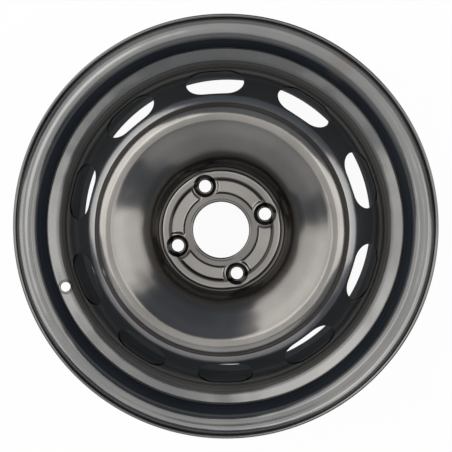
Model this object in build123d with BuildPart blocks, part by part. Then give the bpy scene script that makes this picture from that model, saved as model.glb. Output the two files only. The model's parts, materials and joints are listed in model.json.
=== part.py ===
from build123d import *
import math
import os

# Pressed steel road wheel: a rolled rim, a pressed disc and the weld beads between them.
# Millimetres. The origin is the centre of the hub bore in the hub mounting face.
# +Z points to the outboard side, and +X runs through the valve hole.

# Rim
bead_diameter = 405.6
rim_width = 165.1
mounting_offset = 31.0
rim_sheet = 2.9
seat_taper = 5.0
flange_height = 17.3
flange_depth = 13.0
flange_roll = 9.5
lip_droop = 10.0
seat_corner = 6.5
seat_width = 18.0
hump_height = 0.2
hump_round = 6.0
well_depth = 17.3
well_start = 39.0
well_slope = 62.0
well_length = 38.0
well_round = 12.0
ledge_drop = 3.3
ledge_slope = 25.0
ledge_round = 14.0
bend_error = 1.15

# Valve hole, on the outboard slope of the well
valve_diameter = 11.3
valve_rise = 6.6

# Disc
disc_sheet = 3.6
bore_diameter = 65.1
bore_chamfer = 1.2
coin_width = 3.3
coin_depth = 0.4
pad_height = 2.4
plate_radius = 67.5
plate_step = 1.3
step_run = 2.0
plate_round = 3.0
step_round = 2.0
foot_run = 2.2
foot_round = 2.5
bowl_run = 12.8
bowl_rise = 20.3
bowl_round = 60.0
wall_run = 40.0
wall_rise = 30.8
crown_round = 14.0
crease_run = 13.0
crease_drop = 14.6
crease_round = 5.0
shoulder_run = 6.0
shoulder_drop = 1.7
shoulder_round = 22.0
slot_cone = 35.0
flange_round = 10.0
weld_room = 8.0

# Bolt holes and the pressed pads between them
bolt_count = 4
bolt_circle = 108.0
bolt_hole = 14.4
boss_radius = 16.4
boss_draft = 1.0
seat_mouth = 13.0
seat_foot = 8.9
seat_depth = 4.1
seat_clearance = 0.3
pad_inner = 42.7
pad_outer = 59.5
pad_gap = 15.5
pad_corner = 4.0
pad_draft = 50.0
pad_spread = 1.5

# Vent slots
slot_count = 10
slot_length = 63.4
slot_width = 38.5
slot_shift = 0.75

# Weld beads
weld_count = 8
weld_leg = 4.2
weld_arc = 22.0


def slope(degrees):
    return math.tan(math.radians(degrees))


def bent(corners, rounds):
    """The corners of a bent strip, with each bend as the fewest equal chords within bend_error."""
    points = [Vector(*corners[0])]
    for before, corner, after, radius in zip(corners, corners[1:], corners[2:], rounds):
        into = (Vector(*corner) - Vector(*before)).normalized()
        out = (Vector(*after) - Vector(*corner)).normalized()
        turn = into.get_angle(out)
        if radius / math.cos(math.radians(turn / 2)) - radius < bend_error:
            points.append(Vector(*corner))
            continue
        steps = math.ceil(turn / math.degrees(2 * math.acos(1 - bend_error / radius)))
        side = math.copysign(1, into.cross(out).Z)
        start = Vector(*corner) - into * (radius * slope(turn / 2))
        centre = start + into.rotate(Axis.Z, 90 * side) * radius
        for step in range(steps + 1):
            points.append(centre + (start - centre).rotate(Axis.Z, side * turn * step / steps))
    points.append(Vector(*corners[-1]))
    return points


def sheet_outline(corners, rounds, thickness):
    """The closed section of a bent strip, with its thickness on the right of the way it runs."""
    near = bent(corners, rounds)
    ways = [(after - before).normalized() for before, after in zip(near, near[1:])]
    sides = [way.rotate(Axis.Z, -90) for way in ways]
    far = [near[0] + sides[0] * thickness]
    for point, side, next_side in zip(near[1:], sides, sides[1:]):
        far.append(point + (side + next_side) * (thickness / (1 + side.dot(next_side))))
    far.append(near[-1] + sides[-1] * thickness)
    return near + far[::-1]


# Rim section on the tyre side, from the outboard lip to the inboard lip
bead_radius = bead_diameter / 2
outboard_face = rim_width / 2 - mounting_offset
inboard_face = -rim_width / 2 - mounting_offset
roll_centre = bead_radius + flange_height - flange_roll
lip_corner = roll_centre + flange_roll * (1 / math.cos(math.radians(lip_droop)) + slope(lip_droop))
lip_end = lip_corner - flange_depth * slope(lip_droop)
seat_end = bead_radius - seat_width * slope(seat_taper)
hump_corner = bead_radius + hump_height
well_radius = bead_radius - well_depth
well_top = outboard_face - well_start
hump_top = well_top + (hump_corner - well_radius) / slope(well_slope)
well_foot = well_top - well_length
ledge_radius = bead_radius - ledge_drop
ledge_start = well_foot - (ledge_radius - well_radius) / slope(ledge_slope)
ledge_end = inboard_face + (bead_radius - ledge_radius) / slope(seat_taper)

rim_corners = [
    (lip_end, outboard_face + flange_depth),
    (lip_corner, outboard_face),
    (bead_radius, outboard_face),
    (seat_end, outboard_face - seat_width),
    (hump_corner, hump_top),
    (well_radius, well_top),
    (well_radius, well_foot),
    (ledge_radius, ledge_start),
    (ledge_radius, ledge_end),
    (bead_radius, inboard_face),
    (lip_corner, inboard_face),
    (lip_end, inboard_face - flange_depth),
]
rim_rounds = [
    flange_roll,
    seat_corner,
    hump_round,
    hump_round,
    well_round,
    ledge_round,
    ledge_round,
    ledge_round,
    seat_corner,
    flange_roll,
]

# Disc section on the outboard side, from the bore to the end of the flange
plate_back = pad_height
plate_face = plate_back + disc_sheet
step_face = plate_face - plate_step
foot_radius = plate_radius + step_run + foot_run
bowl_radius = foot_radius + bowl_run
bowl_height = step_face + bowl_rise
crown_radius = bowl_radius + wall_run
crown_height = bowl_height + wall_rise
crease_radius = crown_radius + crease_run
crease_height = crown_height - crease_drop
shoulder_radius = crease_radius + shoulder_run
shoulder_height = crease_height - shoulder_drop
rim_bore = well_radius - rim_sheet
flange_corner = shoulder_height - (rim_bore - shoulder_radius) * slope(slot_cone)
flange_end = well_foot + weld_room

disc_corners = [
    (bore_diameter / 2, plate_face),
    (plate_radius, plate_face),
    (plate_radius + step_run, step_face),
    (foot_radius, step_face),
    (bowl_radius, bowl_height),
    (crown_radius, crown_height),
    (crease_radius, crease_height),
    (shoulder_radius, shoulder_height),
    (rim_bore, flange_corner),
    (rim_bore, flange_end),
]
disc_rounds = [
    plate_round,
    step_round,
    foot_round,
    bowl_round,
    crown_round,
    crease_round,
    shoulder_round,
    flange_round,
]


def leaning_plane(azimuth, radius, height, lean):
    """A plane whose normal leans outwards from +Z by lean degrees, with its X axis along the rim."""
    around = math.radians(azimuth)
    tip = math.radians(lean)
    outward = Vector(math.cos(around), math.sin(around), 0)
    along = Vector(-math.sin(around), math.cos(around), 0)
    normal = outward * math.sin(tip) + Vector(0, 0, math.cos(tip))
    return Plane(origin=outward * radius + Vector(0, 0, height), x_dir=along, z_dir=normal)


def section_plane(azimuth):
    """The half plane through the wheel axis at an azimuth, with X outwards and Y up."""
    around = math.radians(azimuth)
    outward = Vector(math.cos(around), math.sin(around), 0)
    return Plane(origin=(0, 0, 0), x_dir=outward, z_dir=outward.cross(Vector(0, 0, 1)))


def kidney(spread):
    """The outline of a pad about the X axis, grown on every side by spread."""
    half_arc = 180 / bolt_count - pad_gap + math.degrees(spread / pad_outer)
    with BuildSketch() as outline:
        with BuildLine():
            outer = CenterArc((0, 0), pad_outer + spread, -half_arc, 2 * half_arc)
            inner = CenterArc((0, 0), pad_inner - spread, -half_arc, 2 * half_arc)
            Line(outer @ 0, inner @ 0)
            Line(outer @ 1, inner @ 1)
        make_face()
        fillet(outline.vertices(), pad_corner + spread)
    return outline.sketch


# The valve hole is square to the outboard slope of the well
valve_radius = well_radius + valve_rise
valve_height = well_top + valve_rise / slope(well_slope) + rim_sheet / math.sin(math.radians(well_slope))

with BuildPart() as rim:
    with BuildSketch(Plane.XZ):
        with BuildLine():
            Polyline(*sheet_outline(rim_corners, rim_rounds, rim_sheet), close=True)
        make_face()
    revolve(axis=Axis.Z)
    with BuildSketch(leaning_plane(0, valve_radius, valve_height, well_slope - 90)):
        Circle(valve_diameter / 2)
    extrude(amount=2 * rim_sheet, both=True, mode=Mode.SUBTRACT)
rim.part.label = "rim"

slot_radius = (shoulder_radius + rim_bore) / 2 + slot_shift
slot_height = shoulder_height - (slot_radius - shoulder_radius) * slope(slot_cone)
slot_planes = [
    leaning_plane(360 / slot_count * turn, slot_radius, slot_height, slot_cone)
    for turn in range(slot_count)
]

with BuildPart() as disc:
    with BuildSketch(Plane.XZ):
        with BuildLine():
            Polyline(*sheet_outline(disc_corners, disc_rounds, disc_sheet), close=True)
        make_face()
    revolve(axis=Axis.Z)

    # The plate bulges round each bolt seat, in front and behind
    with Locations((0, 0, step_face)):
        with PolarLocations(bolt_circle / 2, bolt_count):
            Cone(
                boss_radius + boss_draft,
                boss_radius,
                plate_step,
                align=(Align.CENTER, Align.CENTER, Align.MIN),
            )
    with Locations((0, 0, seat_clearance)):
        with PolarLocations(bolt_circle / 2, bolt_count):
            Cone(
                seat_mouth + boss_draft,
                boss_radius,
                plate_back - seat_clearance,
                align=(Align.CENTER, Align.CENTER, Align.MIN),
            )

    # Pads that touch the hub, pressed back out of the plate
    with BuildSketch(Plane.XY.offset(plate_back)):
        with PolarLocations(0, bolt_count, start_angle=180 / bolt_count):
            add(kidney(pad_spread))
    extrude(amount=-pad_height, taper=pad_draft)
    with BuildSketch(Plane.XY.offset(plate_face)):
        with PolarLocations(0, bolt_count, start_angle=180 / bolt_count):
            add(kidney(0))
    extrude(amount=-pad_height, taper=pad_draft, mode=Mode.SUBTRACT)

    # Bolt seats and holes
    with Locations((0, 0, plate_face)):
        with PolarLocations(bolt_circle / 2, bolt_count):
            Cone(
                seat_foot,
                seat_mouth,
                seat_depth,
                align=(Align.CENTER, Align.CENTER, Align.MAX),
                mode=Mode.SUBTRACT,
            )
            Hole(bolt_hole / 2)

    # Bore, with its coined ring and chamfer
    with Locations((0, 0, plate_face)):
        Cylinder(
            bore_diameter / 2 + coin_width,
            coin_depth,
            align=(Align.CENTER, Align.CENTER, Align.MAX),
            mode=Mode.SUBTRACT,
        )
    bore_edges = disc.edges().filter_by(GeomType.CIRCLE)
    bore_edges = bore_edges.filter_by(lambda edge: abs(edge.radius - bore_diameter / 2) < bore_chamfer / 10)
    chamfer(bore_edges.sort_by(Axis.Z)[-1], bore_chamfer)

    # Vent slots, square to the slot cone
    with BuildSketch(*slot_planes):
        SlotOverall(slot_length, slot_width)
    extrude(amount=2 * disc_sheet, both=True, mode=Mode.SUBTRACT)
disc.part.label = "disc"

with BuildPart() as disc_welds:
    for turn in range(weld_count):
        with BuildSketch(section_plane(360 / weld_count * (turn + 0.5) - weld_arc / 2)):
            with BuildLine():
                Polyline(
                    (rim_bore, flange_end - weld_leg),
                    (rim_bore, flange_end),
                    (rim_bore - disc_sheet, flange_end),
                    close=True,
                )
            make_face()
        revolve(axis=Axis.Z, revolution_arc=weld_arc)
disc_welds.part.label = "disc_welds"

os.makedirs("parts", exist_ok=True)
export_step(rim.part, "parts/rim.step")
export_step(disc.part, "parts/disc.step")
export_step(disc_welds.part, "parts/disc_welds.step")
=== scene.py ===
import bpy
import json
import math
import numpy as np
from mathutils import Matrix, Vector


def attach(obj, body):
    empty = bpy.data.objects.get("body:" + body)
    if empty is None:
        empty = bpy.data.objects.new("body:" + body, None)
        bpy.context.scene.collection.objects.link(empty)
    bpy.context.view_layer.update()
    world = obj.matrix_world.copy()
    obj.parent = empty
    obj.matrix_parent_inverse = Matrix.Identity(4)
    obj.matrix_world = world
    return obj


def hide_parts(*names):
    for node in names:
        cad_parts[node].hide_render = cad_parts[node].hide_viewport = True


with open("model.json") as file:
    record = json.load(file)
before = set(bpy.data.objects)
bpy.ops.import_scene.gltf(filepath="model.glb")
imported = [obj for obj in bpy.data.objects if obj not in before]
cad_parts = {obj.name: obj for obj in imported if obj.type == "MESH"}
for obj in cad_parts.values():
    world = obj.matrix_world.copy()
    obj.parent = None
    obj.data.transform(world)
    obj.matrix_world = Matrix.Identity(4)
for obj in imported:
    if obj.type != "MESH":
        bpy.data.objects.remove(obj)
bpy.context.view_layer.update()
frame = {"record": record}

MM = 0.001
MOUNTS = {mount["name"]: mount["dims"] for mount in frame["record"]["mounts"]}


# Section helpers, in millimetres, with the radius outwards and z up

def tan(degrees):
    return math.tan(math.radians(degrees))


def unit(v):
    return v / np.linalg.norm(v)


def right_of(way):
    return np.array([way[1], -way[0]])


def turned(v, angle):
    c, s = math.cos(angle), math.sin(angle)
    return np.array([c * v[0] - s * v[1], s * v[0] + c * v[1]])


def bent(corners, rounds, step, ease=0.9):
    """Points along a bent strip and the normals to their right, with true arcs of a point every step degrees.

    A straight stretch, unless it is short, has a point at ease from each of its ends, so that it stays flat.
    """
    corners = [np.array(p, float) for p in corners]
    ways = [unit(b - a) for a, b in zip(corners, corners[1:])]
    points, sides = [corners[0]], [right_of(ways[0])]

    def flat_to(end, way):
        if np.linalg.norm(end - points[-1]) > 2.5 * ease:
            points.extend([points[-1] + way * ease, end - way * ease])
            sides.extend([right_of(way)] * 2)

    for corner, radius, into, out in zip(corners[1:], rounds, ways, ways[1:]):
        turn = math.atan2(into[0] * out[1] - into[1] * out[0], float(into @ out))
        start = corner - into * radius * math.tan(abs(turn) / 2)
        centre = start - right_of(into) * math.copysign(radius, turn)
        flat_to(start, into)
        n = max(2, math.ceil(abs(math.degrees(turn)) / step))
        for k in range(n + 1):
            points.append(centre + turned(start - centre, turn * k / n))
            sides.append(right_of(turned(into, turn * k / n)))
    flat_to(corners[-1], ways[-1])
    points.append(corners[-1])
    sides.append(right_of(ways[-1]))
    return np.array(points), np.array(sides)


def filled(points, sides, longest):
    """The same line with extra points, so that no step is longer than longest(radius)."""
    more_points, more_sides = [points[0]], [sides[0]]
    for a, b, m, n in zip(points, points[1:], sides, sides[1:]):
        k = max(1, math.ceil(np.linalg.norm(b - a) / longest((a[0] + b[0]) / 2)))
        for j in range(1, k + 1):
            more_points.append(a + (b - a) * j / k)
            more_sides.append(unit(m + (n - m) * j / k))
    return np.array(more_points), np.array(more_sides)


END_STEPS = 5
END_GAP = 0.05


def clear_of_ends(line, edge):
    """Which points of a face lie clear of the rounds at its two ends."""
    gaps = [np.linalg.norm(line - line[i], axis=1) for i in (0, -1)]
    return np.minimum(*gaps) > edge + END_GAP


def closed_sheet(near, far, edge):
    """The closed loop of a strip of sheet between its two faces, with its cut ends rounded by edge."""

    def end(p, q, back):
        """The round at the corner p, from p's own face towards q."""
        across = unit(q - p)
        middle = p + (back + across) * edge
        turns = np.linspace(0, math.pi / 2, END_STEPS)
        return [middle - across * edge * math.cos(t) - back * edge * math.sin(t) for t in turns]

    near_face, far_face = (list(line[clear_of_ends(line, edge)]) for line in (near, far))
    first = unit(near[1] - near[0])
    last = unit(near[-2] - near[-1])
    loop = end(near[0], far[0], first)[::-1] + near_face + end(near[-1], far[-1], last)
    loop += end(far[-1], near[-1], last)[::-1] + far_face[::-1] + end(far[0], near[0], first)
    return np.array(loop)


# Mesh helpers

SHARP = 30


def shade(mesh, sharp):
    """Smooth shading, but for edges of more than sharp degrees."""
    mesh.shade_smooth()
    mesh.set_sharp_from_angle(angle=math.radians(sharp))


def new_mesh(name, verts, faces, sharp=SHARP):
    mesh = bpy.data.meshes.new(name)
    mesh.from_pydata([tuple(v) for v in verts], [], faces)
    mesh.validate()
    mesh.update()
    obj = bpy.data.objects.new(name, mesh)
    bpy.context.scene.collection.objects.link(obj)
    shade(mesh, sharp)
    return obj


def grid_faces(rows, cols, wrap_rows=True):
    """The faces between rows of points, each row closed on itself, and the last row joined to the first."""
    faces = []
    for i in range(rows if wrap_rows else rows - 1):
        i2 = (i + 1) % rows
        for j in range(cols):
            j2 = (j + 1) % cols
            faces.append((i * cols + j, i2 * cols + j, i2 * cols + j2, i * cols + j2))
    return faces


def outward(verts, faces):
    """The faces, turned over if those with four corners look towards the middle of the points."""
    points = np.array([tuple(v) for v in verts])
    points = points - points.mean(axis=0)
    quads = np.array([face for face in faces if len(face) == 4])
    a, b, c, d = (points[quads[:, i]] for i in range(4))
    volume = (a * (np.cross(b, c) + np.cross(c, d))).sum()
    return faces if volume > 0 else [face[::-1] for face in faces]


def lathe(name, loop, segments, lift=None):
    """The loop swept right round Z. lift(x, y, z) may give the points another height."""
    turn = np.arange(segments) * 2 * math.pi / segments
    x = np.cos(turn)[:, None] * loop[None, :, 0]
    y = np.sin(turn)[:, None] * loop[None, :, 0]
    z = np.repeat(loop[None, :, 1], segments, axis=0)
    if lift is not None:
        z = lift(x, y, z)
    verts = np.stack([x, y, z], axis=-1).reshape(-1, 3) * MM
    return new_mesh(name, verts, outward(verts, grid_faces(segments, len(loop))))


def stacked(outlines, ring=False):
    """The solid through outlines of as many points each, from foot to head, or joined into a closed ring."""
    rows, cols = len(outlines), len(outlines[0])
    verts = [point for outline in outlines for point in outline]
    faces = [(a, d, c, b) for a, b, c, d in grid_faces(rows, cols, wrap_rows=ring)]
    if not ring:
        faces.append(tuple(range(cols))[::-1])
        faces.append(tuple(range((rows - 1) * cols, rows * cols)))
    return verts, outward(verts, faces)


def plug(profile, sides, place, ring=False):
    """A round cutter; profile is (radius, height) from foot to head, or a closed loop for a ring."""
    turns = [2 * math.pi * k / sides for k in range(sides)]
    return stacked([[place(r * math.cos(t), r * math.sin(t), h) for t in turns] for r, h in profile], ring)


def cut(obj, solids):
    """Cut obj by the solids, each (verts, faces) in millimetres, and keep its shading smooth."""
    verts, faces = [], []
    for solid_verts, solid_faces in solids:
        base = len(verts)
        verts += [Vector(p) * MM for p in solid_verts]
        faces += [tuple(base + i for i in face) for face in solid_faces]
    tool = new_mesh("cutter", verts, faces)
    boolean = obj.modifiers.new("cut", "BOOLEAN")
    boolean.operation = "DIFFERENCE"
    boolean.solver = "EXACT"
    boolean.object = tool
    graph = bpy.context.evaluated_depsgraph_get()
    mesh = bpy.data.meshes.new_from_object(obj.evaluated_get(graph))
    obj.modifiers.clear()
    whole = obj.data
    obj.data = mesh
    bpy.data.meshes.remove(whole)
    bpy.data.objects.remove(tool)
    shade(mesh, SHARP)


# Rim section, on the tyre side, from the outboard lip to the inboard lip. The hidden lip is the same.

BEAD = 202.8
RIM_SHEET = 2.9
OUTBOARD, INBOARD = 51.55, -113.55
FLANGE_RISE = 17.3
LIP_ROUND = 9.5
LIP_DROOP = 10
LIP_WIDTH = 13
LIP_INSET = 0.16
LIP_EDGE = 1.35
SEAT_TAPER = 5
SEAT_WIDTH = 18
HUMP_RISE = 0.2
WELL_DROP = 17.3
WELL_SET_BACK = 39
WELL_WIDTH = 38
WELL_SLOPE = 62
LEDGE_DROP = 3.3
LEDGE_SLOPE = 25
RIM_SEGMENTS = 360

LIP_CENTRE = BEAD + FLANGE_RISE - LIP_ROUND
LIP = LIP_CENTRE + LIP_ROUND * (1 / math.cos(math.radians(LIP_DROOP)) + tan(LIP_DROOP)) - LIP_INSET
LIP_END = LIP - LIP_WIDTH * tan(LIP_DROOP)
OUTBOARD_LIP, INBOARD_LIP = OUTBOARD + LIP_WIDTH, INBOARD - LIP_WIDTH
HUMP = BEAD + HUMP_RISE
WELL = BEAD - WELL_DROP
WELL_TOP = OUTBOARD - WELL_SET_BACK
WELL_FOOT = WELL_TOP - WELL_WIDTH
LEDGE = BEAD - LEDGE_DROP

rim_corners = [
    (LIP_END, OUTBOARD_LIP), (LIP, OUTBOARD), (BEAD, OUTBOARD),
    (BEAD - SEAT_WIDTH * tan(SEAT_TAPER), OUTBOARD - SEAT_WIDTH),
    (HUMP, WELL_TOP + (HUMP - WELL) / tan(WELL_SLOPE)), (WELL, WELL_TOP),
    (WELL, WELL_FOOT), (LEDGE, WELL_FOOT - (LEDGE - WELL) / tan(LEDGE_SLOPE)),
    (LEDGE, INBOARD + (BEAD - LEDGE) / tan(SEAT_TAPER)),
    (BEAD, INBOARD), (LIP, INBOARD), (LIP_END, INBOARD_LIP),
]
rim_rounds = [LIP_ROUND, 6.5, 6, 6, 12, 14, 14, 14, 6.5, LIP_ROUND]
rim_near, rim_sides = bent(rim_corners, rim_rounds, step=7)
rim_far = rim_near + rim_sides * RIM_SHEET
rim = lathe("rim_pressed", closed_sheet(rim_near, rim_far, LIP_EDGE), RIM_SEGMENTS)

# Valve hole, square to the outboard slope of the well, with a fine coined line round it

VALVE_R = 192.1
VALVE_HOLE = MOUNTS["valve_hole"]["r_mm"]
LINE_R = 7.9
SLOPE_FROM, SLOPE_TO, SLOPE_REACH = 0, 30, 198.5
HOLE_SIDES, LINE_SIDES = 48, 64

slope = math.radians(WELL_SLOPE)
slope_face = WELL_TOP + (VALVE_R - WELL) / tan(WELL_SLOPE) + RIM_SHEET / math.sin(slope)
valve_tip = Vector((VALVE_R, 0, slope_face))
valve_axis = Vector((-math.cos(slope), 0, math.sin(slope)))
valve_side = Vector((0, 1, 0))
valve_up = valve_axis.cross(valve_side)
slope_line = np.array([(r, z) for r, z in rim_far if SLOPE_FROM < z < SLOPE_TO and r < SLOPE_REACH])
slope_line = slope_line[np.argsort(slope_line[:, 0])]


def at_valve(a, b, h):
    """A point beside the valve hole: a round the wheel, b along the slope and h above the pressed surface."""
    foot = valve_tip + valve_side * a + valve_up * b
    low, high = -3.0, 12.0
    for _ in range(30):
        middle = (low + high) / 2
        p = foot + valve_axis * middle
        if p.z > np.interp(math.hypot(p.x, p.y), slope_line[:, 0], slope_line[:, 1]):
            high = middle
        else:
            low = middle
    return foot + valve_axis * (middle + h)


bore_rows = ((0, -8), (0, -0.5), (0.15, -0.2), (0.65, 0.3), (0.95, 3))
line_rows = ((0, -0.3), (0.35, 0.5), (0.2, 0.5), (-0.2, 0.5), (-0.35, 0.5))
valve_bore = plug([(VALVE_HOLE + wider, h) for wider, h in bore_rows], HOLE_SIDES, at_valve)
valve_line = plug([(LINE_R + wider, h) for wider, h in line_rows], LINE_SIDES, at_valve, ring=True)
cut(rim, [valve_bore, valve_line])

# Disc section, on the outboard side, from the bore to the end of the flange

BORE = MOUNTS["hub_bore"]["r_mm"]
DISC_SHEET = 3.6
PLATE = 6.0
PLATE_BACK = PLATE - DISC_SHEET
PLATE_R = 67.5
STEP = 4.7
STEP_FROM, STEP_TO = 69.5, 71.7
BOWL = (84.5, 25)
CROWN = (124.5, 55.8)
CREASE = (137.5, 41.2)
CONE = 35
SHOULDER = (143.5, 39.5)
RIM_BORE = WELL - RIM_SHEET
FLANGE_TOP = SHOULDER[1] - (RIM_BORE - SHOULDER[0]) * tan(CONE)
FLANGE_SHORT = 8
FLANGE_END = WELL_FOOT + FLANGE_SHORT
DISC_EDGE = 0.35
DISC_SEGMENTS = 440
FRONT_STEPS = ((37.5, 0.4), (72.5, 0.7))
BACK_STEPS = ((74, 1.5),)
LONG_STEP = 40.0

disc_corners = [
    (BORE, PLATE), (PLATE_R, PLATE), (STEP_FROM, STEP), (STEP_TO, STEP), BOWL, CROWN, CREASE, SHOULDER,
    (RIM_BORE, FLANGE_TOP), (RIM_BORE, FLANGE_END),
]
disc_rounds = [3, 2, 2.5, 60, 14, 5, 22, 10]


def longest_in(rows):
    """The longest step at a radius, from rows of (up to which radius, step)."""
    return lambda radius: next((step for reach, step in rows if radius < reach), LONG_STEP)


disc_bent = bent(disc_corners, disc_rounds, step=8)
disc_near, _ = filled(*disc_bent, longest_in(FRONT_STEPS))
back_line, back_sides = filled(*disc_bent, longest_in(BACK_STEPS))
disc_far = back_line + back_sides * DISC_SHEET
disc_loop = closed_sheet(disc_near, disc_far, DISC_EDGE)
front_points = np.count_nonzero(clear_of_ends(disc_near, DISC_EDGE)) + 2 * END_STEPS
on_front = np.arange(len(disc_loop))[None, :] < front_points

# Hub plate: four bolt seats in bosses, and four pads between them that are pressed back to the hub face

BOLTS = MOUNTS["stud_holes"]["count"]
BOLT_R = MOUNTS["stud_holes"]["pcd_mm"] / 2
BOLT_HOLE = MOUNTS["stud_holes"]["hole_r_mm"]
BOSS_R, BOSS_WALL, BOSS_RISE, BOSS_REACH = 16.9, 3.0, 2.1, 17
BULGE_R, BULGE_WALL, BULGES_FROM = 17.4, 1.6, 60
PAD_OUTER, PAD_OUTER_WALL = 59.9, 3.8
PAD_INNER, PAD_INNER_WALL = 41.4, 3.2
PAD_BOLT_GAP, PAD_END_WALL = 13.2, 4.2
PAD_BACK_GROWS = 1.6
COIN_R, COIN_WALL, COIN_DEPTH = 36.1, 0.5, 0.4
BORE_BEVEL_FOOT = 4.4
LOWEST_BACK = 0.3
PRESSED_FRONT, PRESSED_BACK, LEVEL_BACK = 74.5, 74, 68
SEAT_SIDES = 64


def smooth(t):
    t = np.clip(t, 0, 1)
    return t * t * (3 - 2 * t)


def bolt_distance(x, y):
    """Distance to the axis of the nearest bolt."""
    sector = 2 * math.pi / BOLTS
    turn = (np.arctan2(y, x) + sector / 2) % sector - sector / 2
    r = np.hypot(x, y)
    return np.sqrt(r * r + BOLT_R * BOLT_R - 2 * r * BOLT_R * np.cos(turn))


def pads(x, y, grow=0):
    """0 outside the pads between the bolts and 1 on their floor, through soft walls."""
    r = np.hypot(x, y)
    outer = (PAD_OUTER + grow - r) / PAD_OUTER_WALL
    inner = (r - PAD_INNER + grow) / PAD_INNER_WALL
    end = (bolt_distance(x, y) - PAD_BOLT_GAP + grow) / PAD_END_WALL
    gap = np.hypot(1 - np.clip(np.minimum(outer, inner), -1, 1), 1 - np.clip(end, -1, 1))
    return smooth(1 - gap)


def press_hub(x, y, z):
    """Pressed forms of the hub plate: bulges and bosses round the bolts, the pads, the coined bore edge."""
    r = np.hypot(x, y)
    bolt = bolt_distance(x, y)
    front = on_front & (r < PRESSED_FRONT)
    back = ~on_front & (r < PRESSED_BACK)
    bulge = smooth((BULGE_R - bolt) / BULGE_WALL)
    z = np.where(front & (r > BULGES_FROM) & (z < PLATE), z + (PLATE - z) * bulge, z)
    z = np.where(front, z - PLATE_BACK * pads(x, y), z)
    z = np.where(front, z - COIN_DEPTH * smooth((COIN_R - r) / COIN_WALL), z)
    z = np.where(front, np.minimum(z, BORE_BEVEL_FOOT + np.maximum(r - BORE, 0)), z)
    boss = smooth((BOSS_R - bolt) / BOSS_WALL) * BOSS_RISE
    level = z - np.maximum(boss, PLATE_BACK * pads(x, y, PAD_BACK_GROWS))
    edge = np.minimum(z, np.maximum(PLATE_BACK - boss, LOWEST_BACK))
    return np.where(back & (r < LEVEL_BACK), level, np.where(back & (bolt < BOSS_REACH), edge, z))


disc = lathe("disc_pressed", disc_loop, DISC_SEGMENTS, press_hub)


def at_bolt(k):
    turn = k * 2 * math.pi / BOLTS
    return lambda x, y, h: Vector((BOLT_R * math.cos(turn) + x, BOLT_R * math.sin(turn) + y, h))


bolt_seat = [
    (BOLT_HOLE, -4), (BOLT_HOLE, 1.5), (7.5, 1.9), (8.75, 1.9), (9.0, 2.0), (12.7, 5.7), (13.15, 6.02),
    (14.5, 6.6),
]

# Vent slots through the cone, with round ends and a small bevel on their front edge

SLOTS = 10
SLOT_R = 163.8
SLOT_LENGTH, SLOT_WIDTH = 63.4, 38.5
SLOT_END_STEPS = 24
SLOT_HEIGHTS = ((-9, 0), (-0.7, 0), (2.1, 0.6))


def at_slot(k):
    """Places a point beside a vent slot: a along the rim, b up the cone and h above the pressed face."""
    turn = k * 2 * math.pi / SLOTS
    lean = math.radians(CONE)
    out = Vector((math.cos(turn), math.sin(turn), 0))
    along = Vector((-math.sin(turn), math.cos(turn), 0))
    normal = out * math.sin(lean) + Vector((0, 0, math.cos(lean)))
    up = normal.cross(along)
    centre = out * SLOT_R + Vector((0, 0, SHOULDER[1] - (SLOT_R - SHOULDER[0]) * tan(CONE)))

    def beside(a, b, h):
        level = SLOT_R + b * up.dot(out)
        drop = (math.hypot(level, a) - level) * math.sin(lean)
        return centre + along * a + up * b + normal * (h - drop)

    return beside


def slot_outline(grow):
    """The (along, up) points of a slot that is wider by grow on every side."""
    r = SLOT_WIDTH / 2 + grow
    arm = (SLOT_LENGTH - SLOT_WIDTH) / 2
    turns = [(side, side * math.pi / 2 - math.pi * j / SLOT_END_STEPS)
             for side in (1, -1) for j in range(SLOT_END_STEPS + 1)]
    return [(side * arm + r * math.cos(t), r * math.sin(t)) for side, t in turns]


def slot_cutter(place):
    return stacked([[place(a, b, h) for a, b in slot_outline(grow)] for h, grow in SLOT_HEIGHTS])


seat_cutters = [plug(bolt_seat, SEAT_SIDES, at_bolt(k)) for k in range(BOLTS)]
cut(disc, seat_cutters + [slot_cutter(at_slot(k)) for k in range(SLOTS)])

# Weld beads on the inner edge of the disc flange, rippled along their length

WELDS = 8
WELD_ARC = 22
WELD_STEPS = 44
WELD_LEG = 4.1
WELD_FOOT = 0.88
WELD_FACE_STEPS = 6
WELD_SINKS = 0.02
WELD_TIP = 0.25
WELD_SWELL = 0.35
RIPPLE, RIPPLE_STEPS = 0.07, 4


def weld_section(i):
    """The (radius, height) outline of a bead at step i of its length. It thins out at both ends."""
    full = math.sqrt(max(0.0, 1 - (2 * i / WELD_STEPS - 1) ** 8))
    leg = WELD_LEG * (WELD_TIP + (1 - WELD_TIP) * full)
    swell = (WELD_SWELL + RIPPLE * math.sin(2 * math.pi * i / RIPPLE_STEPS)) * full
    foot, head = FLANGE_END + WELD_SINKS, RIM_BORE - WELD_SINKS
    outline = [(head, foot), (head, FLANGE_END - leg)]
    for j in range(1, WELD_FACE_STEPS):
        f = j / WELD_FACE_STEPS
        bulge = swell * math.sin(math.pi * f)
        outline.append((RIM_BORE - leg * WELD_FOOT * f - bulge, FLANGE_END - leg * (1 - f) - bulge))
    return outline + [(RIM_BORE - leg * WELD_FOOT, foot)]


def weld_bead(k):
    """The points and faces of one bead. Bead 0 is half a pitch past the valve hole."""
    sections = [weld_section(i) for i in range(WELD_STEPS + 1)]
    verts = []
    for i, outline in enumerate(sections):
        turn = math.radians(360 / WELDS * (k + 0.5) + WELD_ARC * (i / WELD_STEPS - 0.5))
        verts += [(r * math.cos(turn) * MM, r * math.sin(turn) * MM, z * MM) for r, z in outline]
    m = len(sections[0])
    faces = grid_faces(len(sections), m, wrap_rows=False)
    faces.append(tuple(range(m)))
    faces.append(tuple(range(WELD_STEPS * m, len(verts)))[::-1])
    return verts, faces


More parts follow.
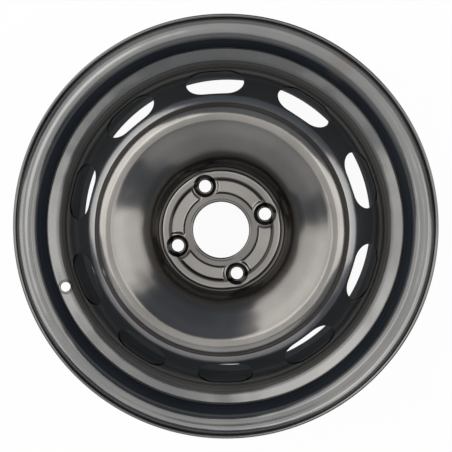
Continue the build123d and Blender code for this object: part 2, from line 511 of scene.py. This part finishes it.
def weld_beads():
    verts, faces = [], []
    for k in range(WELDS):
        bead_verts, bead_faces = weld_bead(k)
        faces += [tuple(len(verts) + i for i in face) for face in bead_faces]
        verts += bead_verts
    return new_mesh("weld_beads", verts, outward(verts, faces), sharp=50)


welds = weld_beads()


# Node helpers

def nodes_of(name):
    material = bpy.data.materials.new(name)
    material.use_nodes = True
    tree = material.node_tree
    tree.nodes.clear()
    out = tree.nodes.new("ShaderNodeOutputMaterial")
    shader = tree.nodes.new("ShaderNodeBsdfPrincipled")
    tree.links.new(shader.outputs["BSDF"], out.inputs["Surface"])
    return material, tree, shader, out


def put(tree, socket, value):
    """Links the socket to an output, or sets it to a number or to three numbers."""
    if isinstance(value, bpy.types.NodeSocket):
        tree.links.new(value, socket)
    elif socket.type == "RGBA":
        socket.default_value = (*value, 1)
    else:
        socket.default_value = value


def math_node(tree, operation, *values):
    node = tree.nodes.new("ShaderNodeMath")
    node.operation = operation
    for socket, value in zip(node.inputs, values):
        put(tree, socket, value)
    return node.outputs[0]


def vector_node(tree, operation, *values):
    node = tree.nodes.new("ShaderNodeVectorMath")
    node.operation = operation
    for socket, value in zip(node.inputs, values):
        put(tree, socket, value)
    return node.outputs["Value" if operation in ("LENGTH", "DOT_PRODUCT") else "Vector"]


def ramp(tree, fac, stops):
    node = tree.nodes.new("ShaderNodeValToRGB")
    elements = node.color_ramp.elements
    for i, (at, colour) in enumerate(stops):
        element = elements[i] if i < 2 else elements.new(at)
        element.position = at
        element.color = (*colour, 1)
    put(tree, node.inputs["Fac"], fac)
    return node.outputs["Color"]


def grey(value):
    return (value, value, value)


def mixed(tree, fac, a, b):
    """Colour a where fac is 0 and colour b where it is 1."""
    node = tree.nodes.new("ShaderNodeMix")
    node.data_type = "RGBA"
    for name, value in (("Factor", fac), ("A", a), ("B", b)):
        put(tree, node.inputs[name], value)
    return node.outputs["Result"]


def table(tree, length, reach, rows, start=0.0):
    """A value from 0 to 2 over a length, from rows of (millimetres, value) between start and reach."""
    span = reach - start
    fac = math_node(tree, "MULTIPLY_ADD", length, 1 / (span * MM), -start / span)
    halves = ramp(tree, fac, [((at - start) / span, grey(value / 2)) for at, value in rows])
    return math_node(tree, "MULTIPLY", halves, 2)


def scaled(tree, colour, gain):
    node = tree.nodes.new("ShaderNodeVectorMath")
    node.operation = "SCALE"
    put(tree, node.inputs[0], colour)
    put(tree, node.inputs["Scale"], gain)
    return node.outputs[0]


def noise(tree, coord, scale, detail):
    node = tree.nodes.new("ShaderNodeTexNoise")
    node.inputs["Scale"].default_value = scale
    node.inputs["Detail"].default_value = detail
    put(tree, node.inputs["Vector"], coord)
    return node.outputs[0]


def bumps(tree, layers):
    """The normal bent by layers of (height, strength, metres), one over the other."""
    under = None
    for height, strength, depth in layers:
        node = tree.nodes.new("ShaderNodeBump")
        node.inputs["Strength"].default_value = strength
        node.inputs["Distance"].default_value = depth
        put(tree, node.inputs["Height"], height)
        if under:
            put(tree, node.inputs["Normal"], under)
        under = node.outputs[0]
    return under


# Distances and masks of the coat and of its painted shade, over the radius, the height and the way a face
# looks

RADIUS_REACH = 230


def round_axis(tree, coord):
    """The x, y and z of a point, its radius, and the point (radius, z) of the wheel's section."""
    split = tree.nodes.new("ShaderNodeSeparateXYZ")
    put(tree, split.inputs[0], coord)
    x, y, z = split.outputs
    squares = [math_node(tree, "MULTIPLY", v, v) for v in (x, y)]
    radius = math_node(tree, "SQRT", math_node(tree, "ADD", *squares))
    section = tree.nodes.new("ShaderNodeCombineXYZ")
    put(tree, section.inputs[0], radius)
    put(tree, section.inputs[1], z)
    return x, y, z, radius, section.outputs[0]


def gap_to(tree, coord, point, stretch=(1, 1, 1)):
    """The distance to a point in metres, with the three axes stretched."""
    away = vector_node(tree, "MULTIPLY", vector_node(tree, "SUBTRACT", coord, point), stretch)
    return vector_node(tree, "LENGTH", away)


def bolt_gap(tree, x, y):
    """The distance to the axis of the nearest of four bolts."""
    x, y = (math_node(tree, "ABSOLUTE", v) for v in (x, y))
    out = math_node(tree, "SUBTRACT", math_node(tree, "MAXIMUM", x, y), BOLT_R * MM)
    side = math_node(tree, "MINIMUM", x, y)
    squares = math_node(tree, "MULTIPLY_ADD", out, out, math_node(tree, "MULTIPLY", side, side))
    return math_node(tree, "SQRT", squares)


def looks_inward(tree, normal, coord, radius):
    """1 on faces that look towards the wheel axis and 0 on those that look away from it."""
    flat = vector_node(tree, "MULTIPLY", normal, (1, 1, 0))
    lean = math_node(tree, "DIVIDE", vector_node(tree, "DOT_PRODUCT", flat, coord), radius)
    return ramp(tree, math_node(tree, "MULTIPLY", lean, -5), [(0.1, grey(0)), (0.5, grey(1))])


def slot_walls(tree, radius, z):
    """Painted shade on the cut walls of the slots: 1 there and 0 on the front of the cone, which they lie
    under.
    """
    level = math_node(tree, "MULTIPLY_ADD", radius, -tan(CONE), (SHOULDER[1] + SHOULDER[0] * tan(CONE)) * MM)
    bend = table(tree, radius, 200, [(173, 0.06), (176, 0.1), (179.6, 0.3), (183, 1.4)])
    under = math_node(tree, "SUBTRACT", level, math_node(tree, "MULTIPLY_ADD", bend, 10 * MM, z))
    walls = table(tree, under, 5, [(0.05, 0), (0.35, 1)])
    return math_node(tree, "MULTIPLY", walls, table(tree, radius, 200, [(144, 0), (147, 1)]))


def barrel_shade(tree, radius, z):
    """Painted shade: 1 low inside the barrel and 0 above and over the hub plate."""
    low = table(tree, z, 10, [(0, 1), (9, 0)])
    return math_node(tree, "MULTIPLY", low, table(tree, radius, RADIUS_REACH, [(120, 0), (140, 1)]))


def band_shade(tree, z, foot, head):
    """Painted shade: 1 between two heights, through soft edges."""
    return table(tree, z, 70, [(foot, 0), (foot + 1.5, 0.96), (head - 3, 0.96), (head, 0)])


def seam_dust_and_highlights(tree, radius, z):
    """Where dust lies in the seam between rim and disc, with painted highlight lines."""
    seam = table(tree, z, 30, [(-8, 0), (-2, 0.85), (13, 0.85), (19, 0)], start=-20)
    return math_node(tree, "MULTIPLY", seam, table(tree, radius, RADIUS_REACH, [(173, 0), (178, 1)]))


# Materials

# Blue black of the painted shade inside the barrel and on the inward rim wall.
SHADE_BLUE_BLACK = (0.012, 0.0165, 0.022)
# The colour of the painted blue reflection on the cone of the disc.
REFLECTED_BLUE = (0.19, 0.2, 0.215)
RUST = (0.16, 0.125, 0.1)
# Dust brightness over the height in the seam; its brightest rows are painted highlight lines at the junction
# of disc flange and rim well.
DUST_AND_HIGHLIGHT_ROWS = [(4, 2), (9, 1.5), (10, 0.8), (10.5, 2), (11.1, 2), (11.6, 0.6)]
NONE = ((0, 0), (1, 0))
CLOUD_SCALE, RING_SCALE, WAVE_SCALE = 14, 420, 22
# The third of these roughens the painted shade.
CLOUD_GLOSS, RING_GLOSS, SHADE_GLOSS, RUST_GLOSS = 0.08, 0.04, 0.25, 0.2
WAVE_DEPTH, RING_DEPTH = 1.4, 0.2
# How much painted shade darkens the slot walls.
SLOT_WALL_SHADE = 0.85
SHEEN, SHEEN_TINT = 0.01, 0.45


def shade_colour(tree, rings):
    """The blue black of the painted shade, in faint rings."""
    return ramp(tree, rings, [(0.35, tuple(0.6 * v for v in SHADE_BLUE_BLACK)), (0.65, tuple(1.6 * v for v in SHADE_BLUE_BLACK))])


def dust_and_highlight_colour(tree, rings, z):
    """The grey of the dusty seam, in bands over the height; its brightest bands are painted highlight lines.
    """
    dust = ramp(tree, rings, [(0.36, grey(0.018)), (0.64, (0.12, 0.115, 0.108))])
    return scaled(tree, dust, table(tree, z, 20, DUST_AND_HIGHLIGHT_ROWS))


def coated(name, dark, light, rough, lines, tones, matt=NONE, cool=NONE, band=None, seats=None, stain=None,
           valve=None):
    """Dark dip coat over steel: soft clouding in colour and gloss, faint rolling lines round the axis.

    tones, matt and cool are rows over the radius: painted light and shade as a brightness, the loss of metal
    sheen, and a painted blue reflection. Painted shade, blue black, lies low inside the barrel and between
    the two heights of band, there only on faces that look towards the axis; the seam between rim and disc is
    dusty, with painted highlight lines. seats and valve are rows of painted light and shade round each bolt
    and round the valve hole, and seats also brings painted shade on the slot walls. stain is a point with
    rust.
    """
    material, tree, shader, _ = nodes_of(name)
    texture = tree.nodes.new("ShaderNodeTexCoord")
    coord, normal = texture.outputs["Object"], texture.outputs["Normal"]
    x, y, z, radius, section = round_axis(tree, coord)
    clouds = noise(tree, coord, CLOUD_SCALE, 8)
    rings = noise(tree, section, RING_SCALE, 2)
    waves = noise(tree, coord, WAVE_SCALE, 1)

    # Painted light and shade: a brightness over the radius.
    light_and_shade = table(tree, radius, RADIUS_REACH, tones)
    # Painted shade low inside the barrel.
    painted_shade = barrel_shade(tree, radius, z)
    seam = seam_dust_and_highlights(tree, radius, z)
    if seats:
        # Painted shade and highlight rings round each bolt seat.
        light_and_shade = math_node(tree, "MULTIPLY", light_and_shade, table(tree, bolt_gap(tree, x, y), 20, seats))
        # Painted shade on the slot walls, where the dust gives way.
        walls = slot_walls(tree, radius, z)
        light_and_shade = math_node(tree, "MULTIPLY", light_and_shade, math_node(tree, "MULTIPLY_ADD", walls, -SLOT_WALL_SHADE, 1.0))
        seam = math_node(tree, "MULTIPLY", seam, math_node(tree, "SUBTRACT", 1.0, walls))
    if valve:
        # Painted shade and highlight rings round the valve hole.
        gap = gap_to(tree, coord, tuple(valve_tip * MM))
        light_and_shade = math_node(tree, "MULTIPLY", light_and_shade, table(tree, gap, 20, valve))
    if band:
        # Painted shade between the two heights of band, only on faces that look towards the axis.
        within = looks_inward(tree, normal, coord, radius)
        painted_shade = math_node(tree, "MAXIMUM", painted_shade, band_shade(tree, z, *band))
        painted_shade = math_node(tree, "MULTIPLY", painted_shade, within)
        seam = math_node(tree, "MULTIPLY", seam, within)

    metal = ramp(tree, clouds, [(0.3, dark), (0.7, light)])
    # A painted blue reflection mixed in over the cone.
    metal = scaled(tree, mixed(tree, table(tree, radius, RADIUS_REACH, cool), metal, REFLECTED_BLUE), light_and_shade)
    # The painted shade turns the colour blue black.
    colour = mixed(tree, painted_shade, metal, shade_colour(tree, rings))
    # Dust in the seam, with painted highlight lines.
    colour = mixed(tree, seam, colour, dust_and_highlight_colour(tree, rings, z))
    gloss = math_node(tree, "MULTIPLY_ADD", clouds, CLOUD_GLOSS, rough - CLOUD_GLOSS / 2)
    gloss = math_node(tree, "MULTIPLY_ADD", rings, RING_GLOSS, gloss)
    gloss = math_node(tree, "MULTIPLY_ADD", painted_shade, SHADE_GLOSS, gloss)
    if stain:
        ragged = math_node(tree, "MULTIPLY_ADD", clouds, 20 * MM, gap_to(tree, coord, stain, (1, 1, 0.6)))
        rust = table(tree, ragged, 40, [(13, 0.32), (24, 0)])
        colour = mixed(tree, rust, colour, RUST)
        gloss = math_node(tree, "MULTIPLY_ADD", rust, RUST_GLOSS, gloss)
    dull = math_node(tree, "MAXIMUM", painted_shade, seam)
    dull = math_node(tree, "MAXIMUM", dull, table(tree, radius, RADIUS_REACH, matt))

    put(tree, shader.inputs["Base Color"], colour)
    put(tree, shader.inputs["Roughness"], gloss)
    put(tree, shader.inputs["Metallic"], math_node(tree, "SUBTRACT", 1.0, dull))
    layers = ((waves, 1.0, WAVE_DEPTH * MM), (rings, lines, RING_DEPTH * MM))
    put(tree, shader.inputs["Normal"], bumps(tree, layers))
    shader.inputs["Specular IOR Level"].default_value = SHEEN
    shader.inputs["Specular Tint"].default_value = (*grey(SHEEN_TINT), 1)
    return material


def round_wheel(degrees, radius, z):
    """A point in metres, at an angle round the wheel from the valve hole."""
    turn = math.radians(degrees)
    return (radius * math.cos(turn) * MM, radius * math.sin(turn) * MM, z * MM)


# Painted light and shade over the radius: dark and light bands put where the bends show shade and highlights.
RIM_LIGHT_AND_SHADE = [
    (0, 1), (184, 1), (187, 0.86), (198, 0.86), (199.5, 0.7), (204, 0.76), (206, 0.95), (213, 1.04), (217, 1),
    (218.3, 0.75), (220, 0.6),
]
DISC_LIGHT_AND_SHADE = [
    (34, 0.8), (36.2, 0.6), (36.8, 0.82), (41, 0.8), (41.8, 0.72), (43, 1.05), (46, 1.18), (56, 1.18),
    (57.3, 0.2), (60.4, 0.2), (61.4, 1.08), (64, 0.98), (65.5, 1.1), (67.2, 1.4), (68.3, 0.3), (70.5, 0.25),
    (72.5, 0.6), (74, 0.9), (77, 0.75), (86, 0.72), (92, 0.96), (101, 1.03), (108, 1.22), (113, 1.2),
    (117, 0.97), (123, 1.1), (127, 1.6), (139, 1.4), (142, 1.15), (150, 1.3), (160, 1.5), (183, 1.1),
]
# Painted shade and highlight rings round each bolt and round the valve hole.
SEAT_LIGHT_AND_SHADE = [(7.3, 0.35), (8.4, 0.16), (8.7, 0.6), (9.2, 0.16), (12.4, 0.14), (13.3, 1.0)]
VALVE_LIGHT_AND_SHADE = [(5.8, 0.08), (6.4, 0.1), (6.7, 1.0), (7.4, 1.0), (7.7, 0.22), (8.3, 0.22), (8.7, 1.0)]

rim_coat = coated(
    "coated_rim", grey(0.18), (0.22, 0.22, 0.215), 0.17, 0.2, RIM_LIGHT_AND_SHADE,
    # band sets the heights of painted shade on the inward rim wall.
    band=(23.5, 51.5), stain=round_wheel(213.8, 207, 57), valve=VALVE_LIGHT_AND_SHADE,
)
disc_coat = coated(
    "coated_disc", (0.17, 0.163, 0.154), (0.24, 0.229, 0.216), 0.18, 0.08, DISC_LIGHT_AND_SHADE,
    matt=[(124, 0), (129, 0.1), (139, 0.09), (146, 0.06), (183, 0.05)],
    # cool paints a blue reflection over the cone.
    cool=[(138, 0), (144, 0.9), (172, 0.7), (183, 0.2)], seats=SEAT_LIGHT_AND_SHADE,
)
weld_coat = coated("coated_weld", grey(0.1), (0.15, 0.147, 0.145), 0.4, 0.2, [(0, 1), (200, 1)])

for piece, coat, node, slot in (
    (rim, rim_coat, "rim", "coated_steel_rim"),
    (disc, disc_coat, "disc", "coated_steel_disc"),
    (welds, weld_coat, "disc_welds", "coated_weld"),
):
    piece.data.materials.clear()
    piece.data.materials.append(coat)
    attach(piece, "root")
    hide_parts(node)

# Floor, a tenth of a millimetre under the wheel. It glows to the camera and in the coat, like a lit table.

FLOOR_GAP = 0.1
FLOOR_Z = (INBOARD_LIP - FLOOR_GAP) * MM
FLOOR_REACH = 9
FLOOR_GLOW = 0.95


def pale_floor():
    material, tree, shader, out = nodes_of("pale_floor")
    put(tree, shader.inputs["Base Color"], grey(0.86))
    shader.inputs["Roughness"].default_value = 0.9
    shader.inputs["Specular IOR Level"].default_value = 0.1
    glow = tree.nodes.new("ShaderNodeEmission")
    put(tree, glow.inputs["Color"], grey(1))
    glow.inputs["Strength"].default_value = 1
    path = tree.nodes.new("ShaderNodeLightPath")
    seen = math_node(tree, "ADD", path.outputs["Is Camera Ray"], path.outputs["Is Glossy Ray"])
    seen = math_node(tree, "MINIMUM", math_node(tree, "ADD", seen, path.outputs["Is Transmission Ray"]), 1.0)
    mix = tree.nodes.new("ShaderNodeMixShader")
    put(tree, mix.inputs[0], math_node(tree, "MULTIPLY", seen, FLOOR_GLOW))
    put(tree, mix.inputs[1], shader.outputs[0])
    put(tree, mix.inputs[2], glow.outputs[0])
    put(tree, out.inputs["Surface"], mix.outputs[0])
    return material


floor_corners = [(x * FLOOR_REACH, y * FLOOR_REACH, FLOOR_Z) for x, y in ((-1, -1), (1, -1), (1, 1), (-1, 1))]
floor = new_mesh("floor", floor_corners, [(0, 1, 2, 3)])
floor.data.materials.append(pale_floor())

# Camera, fitted to the round edges in the photograph. Its line of sight meets the photograph at AXIS_PIXEL.

VALVE_IN_PHOTO = math.radians(200.2)
PHOTO_PIXELS = 452
AXIS_PIXEL = (205.56, 237.82)
FOCAL_PIXELS = 465.03
SENSOR = 36
CAMERA_BACK = (0.07429, 0.07428, 0.9945)
CAMERA_RIGHT, CAMERA_UP, CAMERA_ABOVE_LIP = 22.3, 31.0, 478.0


def from_photo(x, y, z=0.0):
    """A direction or point given right, up and towards the viewer, in the wheel's own frame."""
    c, s = math.cos(VALVE_IN_PHOTO), math.sin(VALVE_IN_PHOTO)
    return Vector((x * c + y * s, -x * s + y * c, z))


def standing(right, up, back, point):
    """The matrix of a camera or lamp that stands at the point and looks away from back."""
    return Matrix([(right[i], up[i], back[i], point[i]) for i in range(3)] + [(0, 0, 0, 1)])


def photo_camera():
    data = bpy.data.cameras.new("camera")
    data.sensor_width = SENSOR
    data.sensor_fit = "HORIZONTAL"
    data.lens = FOCAL_PIXELS / PHOTO_PIXELS * SENSOR
    data.shift_x = (PHOTO_PIXELS / 2 - AXIS_PIXEL[0]) / PHOTO_PIXELS
    data.shift_y = (AXIS_PIXEL[1] - PHOTO_PIXELS / 2) / PHOTO_PIXELS
    data.clip_start = 0.01
    data.clip_end = 60
    camera = bpy.data.objects.new("camera", data)
    bpy.context.scene.collection.objects.link(camera)
    back = from_photo(*CAMERA_BACK).normalized()
    right = from_photo(0, 1).cross(back).normalized()
    point = from_photo(CAMERA_RIGHT, CAMERA_UP, CAMERA_ABOVE_LIP + OUTBOARD_LIP) * MM
    camera.matrix_world = standing(right, back.cross(right), back, point)
    return camera


bpy.context.scene.camera = photo_camera()

# Light

WARM = (1.0, 0.975, 0.94)


def panel(name, azimuth, elevation, distance, width, height, radiance):
    """A softbox aimed at the wheel. Azimuth 0 is the photograph's right and 90 its top; width is level."""
    data = bpy.data.lights.new(name, "AREA")
    data.shape = "RECTANGLE"
    data.size, data.size_y = width, height
    data.energy = radiance * math.pi * width * height
    data.color = WARM
    lamp = bpy.data.objects.new(name, data)
    bpy.context.scene.collection.objects.link(lamp)
    a, e = math.radians(azimuth), math.radians(elevation)
    back = from_photo(math.cos(a) * math.cos(e), math.sin(a) * math.cos(e), math.sin(e))
    level = from_photo(-math.sin(a), math.cos(a))
    lamp.matrix_world = standing(level, back.cross(level), back, back * distance)
    lamp.visible_camera = False


def studio():
    """A world that is white to the camera, pale near the horizon and dim blue above it."""
    world = bpy.data.worlds.new("studio")
    world.use_nodes = True
    tree = world.node_tree
    tree.nodes.clear()
    background = tree.nodes.new("ShaderNodeBackground")
    out = tree.nodes.new("ShaderNodeOutputWorld")
    put(tree, out.inputs[0], background.outputs[0])
    split = tree.nodes.new("ShaderNodeSeparateXYZ")
    put(tree, split.inputs[0], tree.nodes.new("ShaderNodeTexCoord").outputs["Generated"])
    stops = [(0.0, grey(0.8)), (0.08, grey(0.8)), (0.14, (0.16, 0.18, 0.215)), (1.0, (0.15, 0.17, 0.205))]
    sky = ramp(tree, split.outputs[2], stops)
    eye = tree.nodes.new("ShaderNodeLightPath").outputs["Is Camera Ray"]
    put(tree, background.inputs["Color"], mixed(tree, eye, sky, grey(1.0)))
    background.inputs["Strength"].default_value = 1
    return world


panel("overhead", azimuth=90, elevation=88, distance=1.5, width=1.7, height=1.7, radiance=1.1)
panel("right", azimuth=5, elevation=40, distance=1.7, width=1.3, height=1.6, radiance=1.68)
panel("left", azimuth=154, elevation=42, distance=1.7, width=2.0, height=1.9, radiance=1.62)
panel("bottom", azimuth=255, elevation=35, distance=1.7, width=3.4, height=1.6, radiance=0.45)
bpy.context.scene.world = studio()
bpy.context.scene.view_settings.view_transform = "Standard"
